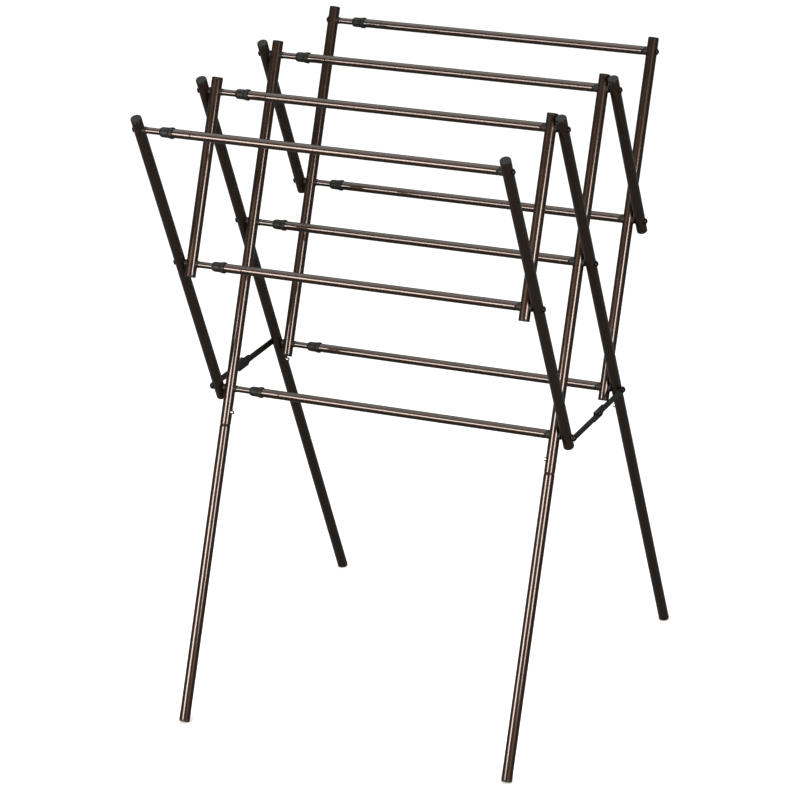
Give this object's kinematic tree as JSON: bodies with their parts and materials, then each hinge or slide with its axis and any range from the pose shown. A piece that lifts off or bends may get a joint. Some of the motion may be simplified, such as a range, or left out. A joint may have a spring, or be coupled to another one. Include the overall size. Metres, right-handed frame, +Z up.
{
  "type": "clothes drying rack",
  "caption": "Folding scissor-frame clothes drying rack of dark bronze tube with telescoping cross rods, folding side stays, collars, end caps and push-button two-piece legs.",
  "frame": {"origin": "on the floor, in the middle of the rack's footprint", "axes": "+X to the rack's right along the rods, -Y to the front, +Z up"},
  "size_m": [0.6968, 0.7354, 1.1168],
  "materials": {
    "button": "nickel plated",
    "collar": "moulded, satin",
    "foot": "moulded, matt",
    "inner_tube": "glossy dark bronze paint",
    "outer_tube": "glossy dark bronze paint",
    "plastic": "moulded, satin",
    "rivet": "dark bronze",
    "rod": "glossy dark bronze paint",
    "stay": "black-brown paint"
  },
  "bodies": {
    "front_leg_right": {"front_leg_collars_right": "collar", "front_leg_foot_right": "foot", "front_leg_lower_tube_right": "inner_tube", "front_leg_outer_rods_right": "rod", "front_leg_pivots_right": "rivet", "front_leg_top_cap_right": "plastic", "front_leg_upper_tube_right": "inner_tube"},
    "short_front_bar_right": {"short_front_bar_collars_right": "collar", "short_front_bar_end_caps_right": "plastic", "short_front_bar_outer_rods_right": "rod", "short_front_bar_pivots_right": "rivet", "short_front_bar_tube_right": "inner_tube"},
    "rear_bar_right": {"rear_bar_collars_right": "collar", "rear_bar_end_caps_right": "plastic", "rear_bar_outer_rods_right": "rod", "rear_bar_pivots_right": "rivet", "rear_bar_tube_right": "inner_tube"},
    "front_arm_right": {"front_arm_collars_right": "collar", "front_arm_end_caps_right": "plastic", "front_arm_outer_rods_right": "rod", "front_arm_pivots_right": "rivet", "front_arm_tube_right": "outer_tube"},
    "rear_leg_right": {"rear_leg_foot_right": "foot", "rear_leg_lower_tube_right": "outer_tube", "rear_leg_top_cap_right": "plastic", "rear_leg_upper_tube_right": "outer_tube"},
    "short_rear_bar_right": {"short_rear_bar_end_caps_right": "plastic", "short_rear_bar_tube_right": "outer_tube"},
    "stay_front_link_right": {"stay_front_link_right": "stay"},
    "stay_rear_link_right": {"stay_rear_link_right": "stay"},
    "front_leg_snap_button_right": {"front_leg_snap_button_right": "button"},
    "rear_leg_snap_button_right": {"rear_leg_snap_button_right": "button"},
    "front_leg_left": {"front_leg_foot_left": "foot", "front_leg_lower_tube_left": "inner_tube", "front_leg_pivots_left": "rivet", "front_leg_slim_rods_left": "rod", "front_leg_top_cap_left": "plastic", "front_leg_upper_tube_left": "inner_tube"},
    "short_front_bar_left": {"short_front_bar_end_caps_left": "plastic", "short_front_bar_pivots_left": "rivet", "short_front_bar_slim_rods_left": "rod", "short_front_bar_tube_left": "inner_tube"},
    "rear_bar_left": {"rear_bar_end_caps_left": "plastic", "rear_bar_pivots_left": "rivet", "rear_bar_slim_rods_left": "rod", "rear_bar_tube_left": "inner_tube"},
    "front_arm_left": {"front_arm_end_caps_left": "plastic", "front_arm_pivots_left": "rivet", "front_arm_slim_rods_left": "rod", "front_arm_tube_left": "outer_tube"},
    "rear_leg_left": {"rear_leg_foot_left": "foot", "rear_leg_lower_tube_left": "outer_tube", "rear_leg_top_cap_left": "plastic", "rear_leg_upper_tube_left": "outer_tube"},
    "short_rear_bar_left": {"short_rear_bar_end_caps_left": "plastic", "short_rear_bar_tube_left": "outer_tube"},
    "stay_front_link_left": {"stay_front_link_left": "stay"},
    "stay_rear_link_left": {"stay_rear_link_left": "stay"},
    "front_leg_snap_button_left": {"front_leg_snap_button_left": "button"},
    "rear_leg_snap_button_left": {"rear_leg_snap_button_left": "button"}
  },
  "joints": [
    {"name": "fold", "type": "hinge", "parent": "front_leg_right", "child": "rear_leg_right", "pos_m": [0.319, 0, 0.81895], "axis": [-1, 0, 0], "range_deg": [0, 42]},
    {"name": "front_arm_right", "type": "hinge", "parent": "front_leg_right", "child": "front_arm_right", "pos_m": [0.319, -0.11661, 0.54689], "axis": [-1, 0, 0], "range_deg": [0, 42]},
    {"name": "short_rear_bar_right", "type": "hinge", "parent": "front_leg_right", "child": "short_rear_bar_right", "pos_m": [0.319, 0.11661, 1.09101], "axis": [-1, 0, 0], "range_deg": [0, 42]},
    {"name": "short_front_bar_right", "type": "hinge", "parent": "rear_leg_right", "child": "short_front_bar_right", "pos_m": [0.319, -0.11661, 1.09101], "axis": [1, 0, 0], "range_deg": [0, 42]},
    {"name": "rear_bar_right", "type": "hinge", "parent": "rear_leg_right", "child": "rear_bar_right", "pos_m": [0.319, 0.11661, 0.54689], "axis": [1, 0, 0], "range_deg": [0, 42]},
    {"name": "stay_front_right", "type": "hinge", "parent": "front_leg_right", "child": "stay_front_link_right", "pos_m": [0.343, -0.11661, 0.54689], "axis": [1, 0, 0], "range_deg": [0, 63.42]},
    {"name": "stay_rear_right", "type": "hinge", "parent": "rear_leg_right", "child": "stay_rear_link_right", "pos_m": [0.343, 0.11661, 0.54689], "axis": [-1, 0, 0], "range_deg": [0, 63.42]},
    {"name": "front_leg_snap_right", "type": "slide", "parent": "front_leg_right", "child": "front_leg_snap_button_right", "axis": [1, 0, 0], "range_m": [0, 0.0042], "stiffness_N_per_m": 2000, "springref_m": -0.002},
    {"name": "rear_leg_snap_right", "type": "slide", "parent": "rear_leg_right", "child": "rear_leg_snap_button_right", "axis": [1, 0, 0], "range_m": [0, 0.0042], "stiffness_N_per_m": 2000, "springref_m": -0.002},
    {"name": "width", "type": "slide", "parent": "front_leg_right", "child": "front_leg_left", "axis": [-1, 0, 0], "range_m": [-0.024, 0.36]},
    {"name": "legs_left", "type": "hinge", "parent": "front_leg_left", "child": "rear_leg_left", "pos_m": [-0.319, 0, 0.81895], "axis": [-1, 0, 0], "range_deg": [0, 42]},
    {"name": "front_arm_left", "type": "hinge", "parent": "front_leg_left", "child": "front_arm_left", "pos_m": [-0.319, -0.11661, 0.54689], "axis": [-1, 0, 0], "range_deg": [0, 42]},
    {"name": "short_rear_bar_left", "type": "hinge", "parent": "front_leg_left", "child": "short_rear_bar_left", "pos_m": [-0.319, 0.11661, 1.09101], "axis": [-1, 0, 0], "range_deg": [0, 42]},
    {"name": "short_front_bar_left", "type": "hinge", "parent": "rear_leg_left", "child": "short_front_bar_left", "pos_m": [-0.319, -0.11661, 1.09101], "axis": [1, 0, 0], "range_deg": [0, 42]},
    {"name": "rear_bar_left", "type": "hinge", "parent": "rear_leg_left", "child": "rear_bar_left", "pos_m": [-0.319, 0.11661, 0.54689], "axis": [1, 0, 0], "range_deg": [0, 42]},
    {"name": "stay_front_left", "type": "hinge", "parent": "front_leg_left", "child": "stay_front_link_left", "pos_m": [-0.343, -0.11661, 0.54689], "axis": [1, 0, 0], "range_deg": [0, 63.42]},
    {"name": "stay_rear_left", "type": "hinge", "parent": "rear_leg_left", "child": "stay_rear_link_left", "pos_m": [-0.343, 0.11661, 0.54689], "axis": [-1, 0, 0], "range_deg": [0, 63.42]},
    {"name": "front_leg_snap_left", "type": "slide", "parent": "front_leg_left", "child": "front_leg_snap_button_left", "axis": [-1, 0, 0], "range_m": [0, 0.0042], "stiffness_N_per_m": 2000, "springref_m": -0.002},
    {"name": "rear_leg_snap_left", "type": "slide", "parent": "rear_leg_left", "child": "rear_leg_snap_button_left", "axis": [-1, 0, 0], "range_m": [0, 0.0042], "stiffness_N_per_m": 2000, "springref_m": -0.002}
  ],
  "couplings": [
    {"joint": "front_arm_right", "follows": "fold", "ratio": 1},
    {"joint": "short_rear_bar_right", "follows": "fold", "ratio": 1},
    {"joint": "short_front_bar_right", "follows": "fold", "ratio": 1},
    {"joint": "rear_bar_right", "follows": "fold", "ratio": 1},
    {"joint": "stay_front_right", "follows": "fold", "ratio": 1.5097},
    {"joint": "stay_rear_right", "follows": "fold", "ratio": 1.5097},
    {"joint": "legs_left", "follows": "fold", "ratio": 1},
    {"joint": "front_arm_left", "follows": "fold", "ratio": 1},
    {"joint": "short_rear_bar_left", "follows": "fold", "ratio": 1},
    {"joint": "short_front_bar_left", "follows": "fold", "ratio": 1},
    {"joint": "rear_bar_left", "follows": "fold", "ratio": 1},
    {"joint": "stay_front_left", "follows": "fold", "ratio": 1.5097},
    {"joint": "stay_rear_left", "follows": "fold", "ratio": 1.5097}
  ]
}
